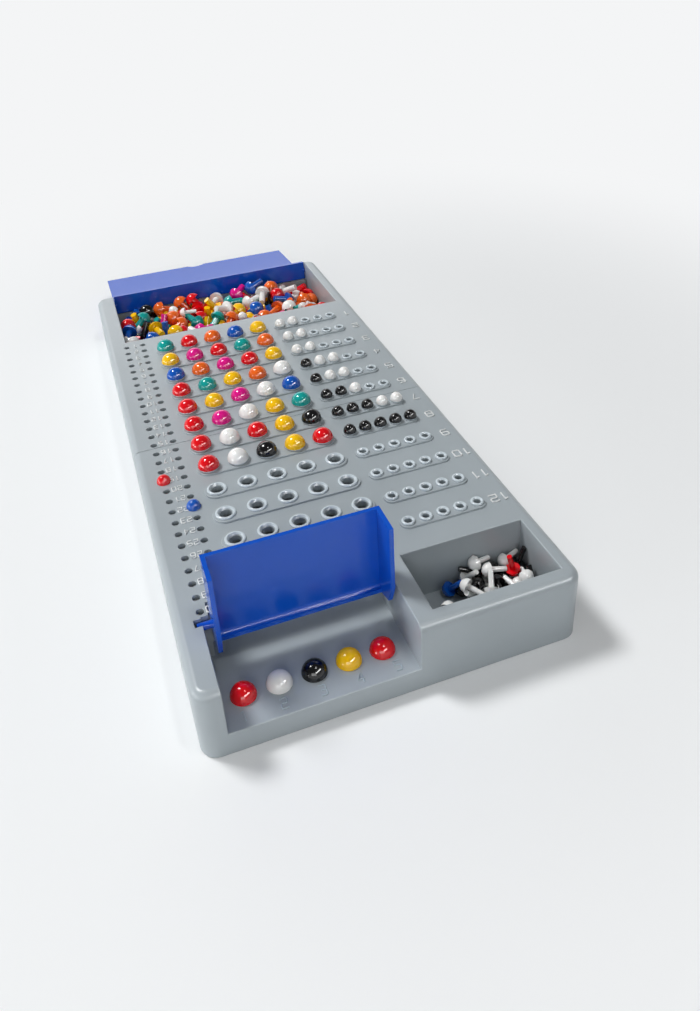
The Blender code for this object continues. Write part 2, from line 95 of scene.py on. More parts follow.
def score_y(row):
    return SCORE_LAST_Y + (SCORE_ROWS - row) * SCORE_PITCH


print(f"board {WIDTH:.1f} x {LENGTH:.1f} x {HEIGHT:.1f} mm, seam at {SEAM_Y:.1f} mm")

# %% [markdown]
# ## Hand tools
# Everything is made as by hand: add a primitive at its size and place, pick faces or edges, and
# extrude, bevel or bisect them. These few helpers pick by place, apply modifiers, and join or
# cut one solid with another with the manifold boolean, which is fast and keeps shells closed.

# %% Tools for modelling
def deselect():
    if bpy.context.mode != "OBJECT":
        bpy.ops.object.mode_set(mode="OBJECT")
    bpy.ops.object.select_all(action="DESELECT")


def take(thing):
    """Makes one object the only selected and active one."""
    deselect()
    thing.select_set(True)
    bpy.context.view_layer.objects.active = thing


def settle(name):
    """Names the new primitive and moves its place and size into its mesh."""
    thing = bpy.context.active_object
    thing.name = name
    take(thing)
    bpy.ops.object.transform_apply(location=True, rotation=True, scale=True)
    return thing


def block(name, low, high):
    """A cube primitive stretched between two corners of the board."""
    deselect()
    low, high = at(*low), at(*high)
    bpy.ops.mesh.primitive_cube_add(size=1, location=(low + high) / 2)
    bpy.context.active_object.scale = high - low
    return settle(name)


def post(name, foot, radius, height, sides=32, lying=False):
    """A cylinder primitive that starts at foot, upright or lying along a hinge line."""
    deselect()
    turn, way = ((0, math.pi / 2, 0), (1, 0, 0)) if lying else ((0, 0, 0), (0, 0, 1))
    bpy.ops.mesh.primitive_cylinder_add(
        vertices=sides, radius=radius * MM, depth=height * MM, rotation=turn,
        location=at(*foot) + Vector(way) * height / 2 * MM)
    return settle(name)


def corners_of(mesh, turn):
    """The edges at which the surface turns by more than this angle."""
    normals = {}
    for face in mesh.polygons:
        for key in face.edge_keys:
            normals.setdefault(key, []).append(face.normal)
    return {key for key, pair in normals.items()
            if len(pair) == 2 and pair[0].angle(pair[1], 0) > math.radians(turn)}


def pick(thing, kind, test, turn=None):
    """Enters edit mode with only the chosen elements selected: test gets board millimetres."""
    take(thing)
    mesh = thing.data
    sharp = corners_of(mesh, turn) if turn else None
    for group in (mesh.vertices, mesh.edges, mesh.polygons):
        group.foreach_set("select", [False] * len(group))
    points = [(vertex.co - at(0, 0, 0)) / MM for vertex in mesh.vertices]
    for element in getattr(mesh, kind):
        corners = [element.index] if kind == "vertices" else element.vertices
        if sharp is None or tuple(sorted(corners)) in sharp:
            element.select = test([points[index] for index in corners])
    bpy.context.tool_settings.mesh_select_mode = [
        kind == mode for mode in ("vertices", "edges", "polygons")]
    bpy.ops.object.mode_set(mode="EDIT")


def leave():
    bpy.ops.object.mode_set(mode="OBJECT")


def bevel_edges(thing, test, width, segments, turn=None):
    """Rounds the chosen edges in edit mode."""
    pick(thing, "edges", test, turn)
    bpy.ops.mesh.bevel(offset=width * MM, segments=segments, affect="EDGES")
    leave()
    return thing


def pull(rise, across=None, along=None):
    """Extrudes the picked face straight up, and scales it where asked."""
    bpy.ops.mesh.extrude_region_move(TRANSFORM_OT_translate={"value": (0, 0, rise * MM)})
    if across:
        bpy.ops.transform.resize(value=(across, along or across, 1))
    leave()


def apply_modifier(thing, kind, **settings):
    take(thing)
    modifier = thing.modifiers.new(kind.title(), kind)
    for key, value in settings.items():
        setattr(modifier, key, value)
    bpy.ops.object.modifier_apply(modifier=modifier.name)
    return thing


def fuse(thing, other, operation="UNION"):
    """Joins another solid into this one, or cuts it away, and drops the other."""
    apply_modifier(thing, "BOOLEAN", operation=operation, solver="MANIFOLD", object=other)
    bpy.data.objects.remove(other, do_unlink=True)
    return thing


def cut(thing, other):
    return fuse(thing, other, "DIFFERENCE")


def repeat(thing, count, step):
    """An array along the board, applied; the copies stay closed shells of their own."""
    return apply_modifier(thing, "ARRAY", count=count, use_relative_offset=False,
                          use_constant_offset=True,
                          constant_offset_displace=Vector(step) * MM)


def join(name, things):
    take(things[0])
    for thing in things:
        thing.select_set(True)
    bpy.ops.object.join()
    bpy.context.active_object.name = name
    return bpy.context.active_object


def smooth(thing, angle=32, flats=False):
    """Smooth shading below an angle; with flats, the faces beside a rounded edge stay flat."""
    take(thing)
    bpy.ops.object.shade_smooth_by_angle(angle=math.radians(angle))
    if flats:
        apply_modifier(thing, "WEIGHTED_NORMAL", keep_sharp=True)
    return thing


def soften(thing, width):
    """Rounds the sharp edges of a thin moulding with the bevel modifier."""
    apply_modifier(thing, "BEVEL", width=width * MM, segments=2, limit_method="ANGLE",
                   angle_limit=math.radians(35))


def level(value):
    """A test for edges or faces whose corners all lie at one height."""
    return lambda points: all(abs(point.z - value) < NEAR for point in points)


print("tools ready")

# %% [markdown]
# ## Finishes
# The board is ABS, moulded in a tool with a fine spark-eroded grain, so it has a soft broad
# sheen and faint flow marks. A mask on height makes its highest rims smoother, a real polish,
# and paints them paler as a painted highlight. The shield and lid are the same plastic from a
# smoother tool.
# The pegs are polystyrene from a polished tool: glossy, with a hard small highlight.
# Colours are written as the eye sees them, in sRGB hex, and one function makes them linear.

# %% Materials
def linear(code):
    """An sRGB hex colour as the linear values that a shader needs."""
    parts = [int(code[i:i + 2], 16) / 255 for i in (1, 3, 5)]
    return [c / 12.92 if c <= 0.04045 else ((c + 0.055) / 1.055) ** 2.4 for c in parts] + [1.0]


def add_node(tree, kind, settings=None, *sources, **links):
    """Adds one node: settings fill properties or sockets, sources its inputs in order."""
    node = tree.nodes.new(kind)
    for key, value in (settings or {}).items():
        if key in node.inputs:
            node.inputs[key].default_value = value
        else:
            setattr(node, key, value)
    for socket, source in list(enumerate(sources)) + list(links.items()):
        if isinstance(source, (int, float)):
            node.inputs[socket].default_value = source
        else:
            tree.links.new(source, node.inputs[socket])
    return node


def maths(tree, operation, *sources):
    """The result of one sum on numbers or sockets."""
    return add_node(tree, "ShaderNodeMath", {"operation": operation}, *sources).outputs["Value"]


# The values between which nearly all of a noise texture lies
CLOUD = (0.3, 0.7)


def moulded(name, colour, rough, spread, grain_mm=0.9, grain_height=0.0, ior=1.5, soft=0.0,
            tint=0.04, gleam=0.5, polish_and_highlight_above=None):
    """A moulded plastic: a grain from the tool, drifting gloss and the faintest flow marks."""
    material = bpy.data.materials.new(name)
    material.use_nodes = True
    tree = material.node_tree
    shader = tree.nodes["Principled BSDF"]
    shader.inputs["IOR"].default_value = ior
    shader.inputs["Specular IOR Level"].default_value = gleam
    if soft:
        shader.inputs["Subsurface Weight"].default_value = soft
        shader.inputs["Subsurface Radius"].default_value = (1.0, 0.8, 0.7)
        shader.inputs["Subsurface Scale"].default_value = 0.6 * MM
    place = add_node(tree, "ShaderNodeTexCoord").outputs["Object"]

    def noise(size_mm, detail, where=place):
        """A cloud of this size, as a value between about 0.3 and 0.7."""
        return add_node(tree, "ShaderNodeTexNoise", {"Scale": 1 / (size_mm * MM),
                                                     "Detail": detail}, where).outputs["Fac"]

    flow = add_node(tree, "ShaderNodeMapping", {"Scale": (1.0, 0.35, 1.0)}, place)
    drift = add_node(tree, "ShaderNodeValToRGB", None, noise(22, 3.0, flow.outputs["Vector"]))
    for element, at_value, share in zip(drift.color_ramp.elements, CLOUD, (1 - tint, 1 + tint)):
        element.position = at_value
        element.color = [min(1.0, c * share) for c in linear(colour)[:3]] + [1.0]
    shade = drift.outputs["Color"]
    gloss = add_node(tree, "ShaderNodeMapRange", None, noise(6, 2.0), *CLOUD,
                     rough - spread, rough + spread).outputs["Result"]
    # Above this height the colour is painted paler and less saturated, a painted highlight on the
    # rims and collars; the lower roughness there is a real polish
    if polish_and_highlight_above:
        height = add_node(tree, "ShaderNodeSeparateXYZ", None, place).outputs["Z"]
        top = add_node(tree, "ShaderNodeMapRange", None, height, polish_and_highlight_above * MM,
                       (polish_and_highlight_above + 0.2) * MM).outputs["Result"]
        shade = add_node(tree, "ShaderNodeHueSaturation", {"Saturation": 0.5}, Color=shade,
                         Value=maths(tree, "MULTIPLY_ADD", top, 0.6, 1.0)).outputs["Color"]
        gloss = maths(tree, "MULTIPLY_ADD", top, -rough / 2, gloss)
    tree.links.new(shade, shader.inputs["Base Color"])
    tree.links.new(gloss, shader.inputs["Roughness"])
    bump = add_node(tree, "ShaderNodeBump", {"Strength": 0.3, "Distance": grain_height * MM},
                    Height=noise(grain_mm, 2.0))
    tree.links.new(bump.outputs["Normal"], shader.inputs["Normal"])
    return material


# ABS with a fine eroded grain: 0.5 mm grains a few thousandths of a millimetre high; the rims
# above the row strips are made smoother, a real polish, and painted a little paler, a painted
# highlight
board_grey = moulded("abs_grey_grained", "#92A5AF", rough=0.32, spread=0.03, grain_mm=0.5,
                     grain_height=0.004, tint=0.03, polish_and_highlight_above=HEIGHT + 0.85)
# The same ABS painted pale, a painted highlight: the raised numbers on the deck
number_highlight_grey = moulded("abs_grey_painted_highlight", "#DADDDD", rough=0.4, spread=0.01, gleam=0.3)
# The same ABS painted a little paler than the board, a fainter painted highlight: the low numbers
# on the floor of the code bay
bay_number_faint_highlight_grey = moulded("abs_grey_faint_highlight", "#A6B4BC", rough=0.35, spread=0.01)
# ABS from a smoother tool: the same blue plastic on the shield and on the lid
cover_blue = moulded("abs_blue_smooth", "#0B52C2", rough=0.15, spread=0.01, grain_height=0.002,
                     gleam=0.45, tint=0.02)
PEG_COLOURS = {"red": "#E10414", "magenta": "#E0108A", "orange": "#F0681A",
               "yellow": "#FDC504", "blue": "#0656B8", "teal": "#06A09A",
               "white": "#F2F2F0", "black": "#0B0B0D"}
# Polystyrene from a polished tool: coloured right through, with a wet-looking gloss
peg_finish = {word: moulded("polystyrene_" + word, code, rough=0.12, spread=0.02, grain_mm=1.2,
                            grain_height=0.006, ior=1.59, tint=0.02,
                            soft=0.0 if word == "black" else 0.08)
              for word, code in PEG_COLOURS.items()}


def finish(thing, material, slot, body, *nodes):
    """Gives a piece its finish, and the body that it moves with."""
    thing.data.materials.clear()
    thing.data.materials.append(material)
    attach(thing, body)
    if nodes:
        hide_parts(*nodes)
    return thing


print("peg colours:", ", ".join(peg_finish))

# %% [markdown]
# ## The shell of each half
# A half starts as a block. The two free upright corners are rounded first, then the top edges,
# so that the rounds meet as they do in a mould. The inside is cut away from below, and the
# tubs for the bay, the well and the tray are fused in before they are hollowed from above.

# %% Shell of one half
def shell(name, y_low, y_high, free_y):
    """A block with rounded free corners and top edges, hollow below."""
    body = block(name, (0, y_low, 0), (WIDTH, y_high, HEIGHT))
    seam = y_high if free_y == y_low else y_low

    def upright(points):
        return abs(points[0].z - points[1].z) > NEAR and abs(points[0].y - free_y) < NEAR

    def top(points):
        return level(HEIGHT)(points) and any(abs(point.y - seam) > NEAR for point in points)

    bevel_edges(body, upright, CORNER_R, 6)
    bevel_edges(body, top, EDGE_R, 5)
    return cut(body, block("hollow", (WALL, y_low + WALL, -OVERRUN),
                           (WIDTH - WALL, y_high - WALL, HEIGHT - DECK)))


def tub(target, low_x, high_x, low_y, high_y, floor_top=FLOOR_TOP):
    """A thin-walled tub below the deck, round an opening of these sizes."""
    return fuse(target, block("tub", (low_x - WALL, low_y - WALL, floor_top - WALL),
                              (high_x + WALL, high_y + WALL, HEIGHT - DECK / 2)))


def pocket(low_x, high_x, low_y, high_y, floor_top=FLOOR_TOP):
    """The hollow of a tub, whose mouth flares out so that the rim is rounded."""
    hole = block("pocket", (low_x, low_y, floor_top), (high_x, high_y, HEIGHT - MOUTH_R))
    turn = math.pi / 2 / MOUTH_STEPS
    for step in range(MOUTH_STEPS):
        angle = turn * step
        rise = MOUTH_R * (math.sin(angle + turn) - math.sin(angle))
        flare = 2 * MOUTH_R * (math.cos(angle) - math.cos(angle + turn))
        pick(hole, "polygons", level(HEIGHT - MOUTH_R + MOUTH_R * math.sin(angle)))
        pull(rise, 1 + flare / (high_x - low_x), 1 + flare / (high_y - low_y))
    pick(hole, "polygons", level(HEIGHT))
    pull(4 * OVERRUN)
    return hole


BAY_LEFT, BAY_RIGHT, BAY_REAR = 9.0, 74.5, 38.4
STEP_X, STEP_Y = 11.6, 32.41
MOUTH_R, MOUTH_STEPS = 0.5, 3
# Hollows as left, right, front and rear, and the top of the floor where it is lower
WELL = (81.5, 130.2, 6.3, 34.0, WELL_FLOOR)
TRAY_LEFT, TRAY_RIGHT, TRAY_FRONT, TRAY_REAR = 9.5, 129.5, 242.8, 304.0
front = shell("front_board", 0, SEAM_Y - SEAM_GAP / 2, 0)
tub(front, BAY_LEFT, BAY_RIGHT, WALL + OVERRUN, STEP_Y)
tub(front, STEP_X, BAY_RIGHT, STEP_Y, BAY_REAR)
tub(front, *WELL)
rear = shell("rear_board", SEAM_Y + SEAM_GAP / 2, LENGTH, LENGTH)
tub(rear, TRAY_LEFT, TRAY_RIGHT, TRAY_FRONT, LENGTH - 2 * WALL + OVERRUN)
print("front shell:", len(front.data.polygons), "faces; rear shell:", len(rear.data.polygons))

# %% [markdown]
# ## Bay, well and tray
# The bay is open at the front, so its cutter runs out past the front wall. Behind the shield it
# is a little narrower on the left, where the last score holes stand beside it. The tray's far
# wall is lowered to let the lid's hinge flange stand on it.

# %% Cut the bay, the well and the tray
REAR_WALL_TOP, BAY_ROUND = 16.7, 0.45
bay_top = HEIGHT + 3 * OVERRUN
bay = block("bay", (BAY_LEFT, -3 * OVERRUN, FLOOR_TOP), (BAY_RIGHT, STEP_Y, bay_top))
fuse(bay, block("bay_rear", (STEP_X, STEP_Y - OVERRUN, FLOOR_TOP),
                (BAY_RIGHT, BAY_REAR, bay_top)))
cut(front, bay)


def bay_mouth(points):
    """The front edge of the bay's floor, and the outer edges of the walls beside it."""
    if level(FLOOR_TOP)(points) and all(abs(point.y) < NEAR for point in points):
        return True
    on_side = any(all(abs(point.x - side) < NEAR for point in points)
                  for side in (BAY_LEFT, BAY_RIGHT))
    outside = all(point.z > FLOOR_TOP + 1 or point.y < NEAR for point in points)
    return on_side and outside and all(point.y < STEP_Y - 0.5 or point.z > HEIGHT - NEAR
                                       for point in points)


bevel_edges(front, bay_mouth, BAY_ROUND, 3, turn=30)
cut(front, pocket(*WELL))
cut(rear, pocket(TRAY_LEFT, TRAY_RIGHT, TRAY_FRONT, TRAY_REAR))
cut(rear, block("lowered", (TRAY_LEFT, TRAY_REAR - OVERRUN, REAR_WALL_TOP),
                (TRAY_RIGHT, LENGTH + 2 * OVERRUN, bay_top)))
print("bay, well and tray cut")

# %% [markdown]
# ## Rows of holes
# Each row has a raised strip with five code holes and a second strip with five small key holes.
# One strip, one rim and one hole are modelled, then arrays repeat them down the board. The
# code holes are countersunk inside a raised rim, the key holes have small round collars.

# %% Strips, rims and collars
STRIP_H, RIM_H, RIM_R = 0.8, 0.8, 4.05
CODE_STRIP_R, KEY_STRIP_R, COLLAR_R, COLLAR_H = 5.15, 3.4, 2.6, 0.9
STRIP_TOP = HEIGHT + STRIP_H
RIM_TOP, COLLAR_TOP = STRIP_TOP + RIM_H, STRIP_TOP + COLLAR_H
STRIP_ROUND, RIM_ROUND, COLLAR_ROUND = 0.3, 0.5, 0.45


def strip(x_first, x_last, y, radius, sides=32):
    """A post pulled apart into a flat bar with round ends, and a soft top edge."""
    bar = post("strip", (x_first, y, HEIGHT - OVERRUN), radius, OVERRUN + STRIP_H, sides)
    half_step = Matrix.Rotation(math.pi / sides, 4, "Z")
    centre = Matrix.Translation(at(x_first, y, 0))
    bar.data.transform(centre @ half_step @ centre.inverted())
    pick(bar, "vertices", lambda points: points[0].x > x_first)
    bpy.ops.transform.translate(value=((x_last - x_first) * MM, 0, 0))
    leave()
    return bevel_edges(bar, level(STRIP_TOP), STRIP_ROUND, 2)


def ring(x, y, radius, top, round_over):
    """A short post with a rounded shoulder, which becomes a rim once its hole is cut."""
    foot = HEIGHT - OVERRUN / 2
    return bevel_edges(post("ring", (x, y, foot), radius, top - foot), level(top), round_over, 4)


def raised_rows(target, rows):
    y = row_y(rows[-1])
    for made in (
        strip(CODE_X, CODE_X + (COLUMNS - 1) * CODE_PITCH, y, CODE_STRIP_R),
        strip(KEY_X, KEY_X + (COLUMNS - 1) * KEY_PITCH, y, KEY_STRIP_R),
        repeat(ring(CODE_X, y, RIM_R, RIM_TOP, RIM_ROUND), COLUMNS, (CODE_PITCH, 0, 0)),
        repeat(ring(KEY_X, y, COLLAR_R, COLLAR_TOP, COLLAR_ROUND), COLUMNS, (KEY_PITCH, 0, 0)),
    ):
        fuse(target, repeat(made, len(rows), (0, ROW_PITCH, 0)))


raised_rows(front, FRONT_ROWS)
raised_rows(rear, REAR_ROWS)
print("raised rows on both halves")

# %% [markdown]
# ## The holes
# A hole is cut by a stepped pin: narrow below, a cone for the countersink, and a flared mouth
# that softens the rim's inner edge. Extruding and scaling the pin's top face makes each step.

# %% Cut the holes
# How deep the pins reach below the deck, and how far a mouth's flare goes on above its rim
PIN_DEPTH, OPEN = 4.0, 0.05
CODE_HOLE_R, KEY_HOLE_R = 2.35, 1.4
SECRET_X, SECRET_PITCH, SECRET_Y = 16.8, 12.175, 12.6


def stepped_pin(x, y, steps, sides=32):
    """A post whose top face is extruded through (height, radius) steps, then straight up."""
    low = HEIGHT - PIN_DEPTH
    height, radius = steps[0]
    pin = post("pin", (x, y, low), radius, height - low, sides)
    for next_height, next_radius in steps[1:] + [(steps[-1][0] - OPEN + OVERRUN, steps[-1][1])]:
        pick(pin, "polygons", level(height))
        pull(next_height - height, next_radius / radius)
        height, radius = next_height, next_radius
    return pin


def hole_field(target, rows, score_rows):
    y = row_y(rows[-1])
    code = stepped_pin(CODE_X, y, [(RIM_TOP - 1.0, CODE_HOLE_R), (RIM_TOP - 0.45, 2.85),
                                   (RIM_TOP - 0.12, 3.0), (RIM_TOP + OPEN, 3.2)])
    key = stepped_pin(KEY_X, y, [(COLLAR_TOP - 0.5, KEY_HOLE_R), (COLLAR_TOP - 0.1, 1.7),
                                 (COLLAR_TOP + OPEN, 1.85)], 24)
    for pin, pitch in ((code, CODE_PITCH), (key, KEY_PITCH)):
        row = repeat(pin, COLUMNS, (pitch, 0, 0))
        cut(target, repeat(row, len(rows), (0, ROW_PITCH, 0)))
    for column in range(2):
        kept = [row for row in score_rows
                if column == 0 or score_y(row) - KEY_HOLE_R > BAY_REAR]
        score = stepped_pin(SCORE_X + column * SCORE_GAP, score_y(kept[-1]),
                            [(HEIGHT - 0.15, KEY_HOLE_R), (HEIGHT + OPEN, KEY_HOLE_R + 0.15)], 24)
        cut(target, repeat(score, len(kept), (0, SCORE_PITCH, 0)))


hole_field(front, FRONT_ROWS, FRONT_SCORE)
hole_field(rear, REAR_ROWS, REAR_SCORE)
secret = post("secret", (SECRET_X, SECRET_Y, FLOOR_TOP - PIN_DEPTH), CODE_HOLE_R,
              PIN_DEPTH + 2 * OVERRUN)
cut(front, repeat(secret, COLUMNS, (SECRET_PITCH, 0, 0)))
print("holes cut:", len(front.data.polygons), "and", len(rear.data.polygons), "faces")

# %% [markdown]
# ## Hinge notches, sockets and plug-in tongues
# The shield's pins drop into open notches beside the bay, the lid's pins turn in round sockets,
# and two flat tongues on the rear half plug into slots in the front half's seam wall.

# %% Notches, sockets and tongues
SHIELD_LEFT, SHIELD_RIGHT, SHIELD_Y, SHIELD_Z = 12.0, 73.1, 30.117, 26.0
LID_LEFT, LID_RIGHT, LID_Y, LID_Z = 9.9, 129.1, 306.0, 22.6
PIN_R, PIN_SIDES, PIN_CLEAR, NOTCH = 1.4, 24, 0.3, 2.6
TONGUE_WIDE, TONGUE_THICK, TONGUE_LONG, TONGUE_LOW, TONGUE_ROUND = 18.0, 3.0, 10.0, 10.0, 0.8
reach = PIN_R + PIN_CLEAR
for low_x, high_x in ((BAY_LEFT - NOTCH, BAY_LEFT + OVERRUN),
                      (BAY_RIGHT - OVERRUN, BAY_RIGHT + NOTCH)):
    cut(front, block("notch", (low_x, SHIELD_Y - reach, SHIELD_Z - reach),
                     (high_x, SHIELD_Y + reach, HEIGHT + OVERRUN)))
for low_x in (TRAY_LEFT - WALL - OVERRUN, TRAY_RIGHT - OVERRUN):
    cut(rear, post("socket", (low_x, LID_Y, LID_Z), reach, WALL + 2 * OVERRUN, PIN_SIDES, True))
rear_face = SEAM_Y + SEAM_GAP / 2
tip = rear_face - TONGUE_LONG
for share in (0.2, 0.8):
    left, right = share * WIDTH - TONGUE_WIDE / 2, share * WIDTH + TONGUE_WIDE / 2
    tongue = block("tongue", (left, tip, TONGUE_LOW),
                   (right, rear_face + OVERRUN, TONGUE_LOW + TONGUE_THICK))
    bevel_edges(tongue, lambda points: all(abs(point.y - tip) < NEAR for point in points),
                TONGUE_ROUND, 2)
    fuse(rear, tongue)
    cut(front, block("slot", (left - PIN_CLEAR, SEAM_Y - 2 * WALL, TONGUE_LOW - PIN_CLEAR),
                     (right + PIN_CLEAR, SEAM_Y + OVERRUN,
                      TONGUE_LOW + TONGUE_THICK + PIN_CLEAR)))
for half, body in ((front, "front_half"), (rear, "rear_half")):
    smooth(half, flats=True)
    finish(half, board_grey, "board_grey", body, body)
print("both halves finished")

# %% [markdown]
# ## Raised numbers
# Plain numbers stand a few tenths of a millimetre above the plastic. Those of the rows and the
# score track face the guesser at the far end, those in the bay face the code maker. The real
# figures are squared and all of one line width, as an engraver cuts them, so each is drawn with
# a few straight strokes: a curve through the corners, whose round bevel gives it its thickness.
# The numbers on the deck are painted pale, a painted highlight on their strokes. Those on the
# floor of the bay are a piece of their own, painted only a little paler than the board, a fainter
# painted highlight.

# %% Numbers
STROKES = {
    "0": ["15 0 85 0 100 12 100 88 85 100 15 100 0 88 0 12 15 0"],
    "1": ["10 88 50 100 50 0"],
    "2": ["0 88 15 100 85 100 100 88 100 62 85 50 15 50 0 38 0 0 100 0"],
    "3": ["0 100 85 100 100 88 100 62 85 50 25 50", "85 50 100 38 100 12 85 0 0 0"],
    "4": ["75 0 75 100 0 32 100 32"],
    "5": ["100 100 0 100 0 55 85 55 100 43 100 12 85 0 0 0"],
    "6": ["95 100 15 100 0 88 0 12 15 0 85 0 100 12 100 43 85 55 0 55"],
    "7": ["0 100 100 100 40 0"],
    "8": ["15 0 85 0 100 12 100 88 85 100 15 100 0 88 0 12 15 0", "0 50 100 50"],
    "9": ["5 0 85 0 100 12 100 88 85 100 15 100 0 88 0 57 15 45 100 45"],
}
# The gap between figures besides their line, and the share of a line that stands proud
FIGURE_GAP, PROUD = 0.25, 0.3


def number(figures, x, y, z, height, turned, wide, line):
    """One raised number of round strokes, partly sunk into the surface that carries it."""
    curve = bpy.data.curves.new("number", "CURVE")
    curve.dimensions = "3D"
    curve.bevel_depth = line / 2 * MM
    curve.bevel_resolution = 2
    curve.use_fill_caps = True
    digit, space = height * wide, line + FIGURE_GAP
    start = -(len(figures) * digit + (len(figures) - 1) * space) / 2
    turn = -1 if turned else 1
    for place, figure in enumerate(figures):
        for stroke in STROKES[figure]:
            values = [int(value) / 100 for value in stroke.split()]
            line_of = curve.splines.new("POLY")
            closed = values[:2] == values[-2:]
            points = list(zip(values[::2], values[1::2]))[:-1 if closed else None]
            line_of.points.add(len(points) - 1)
            line_of.use_cyclic_u = closed
            for point, (across, up) in zip(line_of.points, points):
                right = start + place * (digit + space) + across * digit
                spot = at(x + turn * right, y + turn * (up - 0.5) * height, z + line * PROUD)
                point.co = (*spot, 1)
    words = bpy.data.objects.new("number", curve)
    bpy.context.scene.collection.objects.link(words)
    take(words)
    bpy.ops.object.convert(target="MESH")
    return bpy.context.active_object


def numbers(name, body, entries, grey):
    made = smooth(join(name, [number(*entry) for entry in entries]), 50)
    finish(made, grey, "board_grey", body)


ROW_NUMBER_X, NUMBER_CLEAR = 128.9, 4
BAY_NUMBER_X, BAY_NUMBER_Y, BAY_NUMBER_PITCH = SECRET_X - 1.6, 4.6, 13.15
# Height in millimetres, whether turned to the far end, width for the height, and line width
ROW_FIGURES, SCORE_FIGURES = (4.0, True, 0.76, 0.7), (2.8, True, 0.58, 0.52)
BAY_FIGURES = (4.0, False, 0.55, 0.5)
for name, body, rows, score_rows in (
    ("front_numbers", "front_half", FRONT_ROWS, FRONT_SCORE),
    ("rear_numbers", "rear_half", REAR_ROWS, REAR_SCORE),
):
    entries = [(str(row), ROW_NUMBER_X, row_y(row), HEIGHT, *ROW_FIGURES) for row in rows]
    entries += [(str(row), SCORE_X + SCORE_GAP / 2, score_y(row), HEIGHT, *SCORE_FIGURES)
                for row in score_rows if score_y(row) > SHIELD_Y + NUMBER_CLEAR]
    numbers(name, body, entries, number_highlight_grey)
numbers("bay_numbers", "front_half",
        [(str(column + 1), BAY_NUMBER_X + column * BAY_NUMBER_PITCH, BAY_NUMBER_Y, FLOOR_TOP,
          *BAY_FIGURES) for column in range(COLUMNS)], bay_number_faint_highlight_grey)
print("numbers raised")

# %% [markdown]
# ## The code shield
# The shield is one thin blue moulding: a panel that bends forward into a short foot, a cheek at
# each end, and a pin on each cheek. The panel is a slab whose lower face is spun through a
# quarter turn to make the bend, then pulled out to make the foot.

# %% Shield
SHEET_T = 1.5
SHIELD_TOP, SHIELD_BELOW, FOOT, BEND_R = SHIELD_Z + 29.517, 6.5, 1.7, 1.5
CHEEK, CHEEK_CUT_ABOVE, CHEEK_CUT_BELOW, CHEEK_CUT_IN = 12.0, 3.6, 4.3, 2.9
PIN_REACH, SOFT_EDGE = 1.7, 0.25
low_z, bend_z = SHIELD_Z - SHIELD_BELOW, SHIELD_Z - SHIELD_BELOW + SHEET_T + BEND_R
front_y, back_y = SHIELD_Y - SHEET_T / 2, SHIELD_Y + SHEET_T / 2
low_x, high_x = SHIELD_LEFT + SHEET_T / 2, SHIELD_RIGHT - SHEET_T / 2
shield = block("shield", (low_x, front_y, bend_z), (high_x, back_y, SHIELD_TOP))
pick(shield, "polygons", level(bend_z))
bpy.ops.mesh.spin(steps=6, angle=math.pi / 2, center=at(low_x, front_y - BEND_R, bend_z),
                  axis=(1, 0, 0))
bpy.ops.mesh.extrude_region_move(
    TRANSFORM_OT_translate={"value": (0, -(FOOT - BEND_R) * MM, 0)})
leave()
tip_y = SHIELD_Y - CHEEK
corners = [(tip_y, SHIELD_Z + CHEEK_CUT_ABOVE),
           (tip_y + CHEEK_CUT_IN, SHIELD_Z - CHEEK_CUT_BELOW), (front_y - FOOT, low_z)]
for x in (SHIELD_LEFT, SHIELD_RIGHT - SHEET_T):
    cheek = block("cheek", (x, tip_y, low_z), (x + SHEET_T, back_y, SHIELD_TOP))
    for (y0, z0), (y1, z1) in zip(corners, corners[1:]):
        slope = Vector((0, z1 - z0, y0 - y1)).normalized()
        pick(cheek, "polygons", lambda points: True)
        bpy.ops.mesh.bisect(plane_co=at(x, y0, z0), plane_no=slope, use_fill=True,
                            clear_inner=slope.y > 0, clear_outer=slope.y < 0)
        leave()
    fuse(shield, cheek)
for start, end in ((BAY_LEFT - PIN_REACH, low_x), (high_x, BAY_RIGHT + PIN_REACH)):
    fuse(shield, post("pin", (start, SHIELD_Y, SHIELD_Z), PIN_R, end - start, PIN_SIDES, True))
soften(shield, SOFT_EDGE)
smooth(shield, flats=True)
finish(shield, cover_blue, "cover_blue", "code_shield", "code_shield")
print("shield:", len(shield.data.polygons), "faces")

# %% [markdown]
# ## The tray lid
# The lid lies open behind the tray: its hinge flange stands on the lowered wall and leans back,
# and the panel slopes down to the table behind. It is modelled level, as it lies when swung
# back, and turned about its hinge line at the end, before its place is fixed.

# %% Lid
FLANGE_T, FLANGE_H, LID_REACH, LID_LEAN = 2.0, 10.8, 62.7, 5
THUMB_R, THUMB_DEPTH, LID_PIN_REACH, LID_SOFT_EDGE = 7.1, 2.6, 2.0, 0.3
low_z, lid_end = LID_Z - FLANGE_H / 2, LID_Y + LID_REACH
lid = block("lid", (LID_LEFT, LID_Y, low_z), (LID_RIGHT, lid_end, low_z + SHEET_T))
fuse(lid, block("flange", (LID_LEFT, LID_Y - FLANGE_T / 2, low_z),
                (LID_RIGHT, LID_Y + FLANGE_T / 2, LID_Z + FLANGE_H / 2)))
cut(lid, post("thumb", ((LID_LEFT + LID_RIGHT) / 2, lid_end + THUMB_R - THUMB_DEPTH,
                        LID_Z - FLANGE_H), THUMB_R, FLANGE_H, 48))
for start in (LID_LEFT - LID_PIN_REACH, LID_RIGHT - FLANGE_T / 2):
    fuse(lid, post("pin", (start, LID_Y, LID_Z), PIN_R, LID_PIN_REACH + FLANGE_T / 2,
                   PIN_SIDES, True))
soften(lid, LID_SOFT_EDGE)
hinge = Matrix.Translation(at(0, LID_Y, LID_Z))
lean = Matrix.Rotation(-math.radians(LID_LEAN), 4, "X")
lid.data.transform(hinge @ lean @ hinge.inverted())
smooth(lid, flats=True)
finish(lid, cover_blue, "cover_blue", "peg_tray_lid", "peg_tray_lid")
print("lid:", len(lid.data.polygons), "faces")

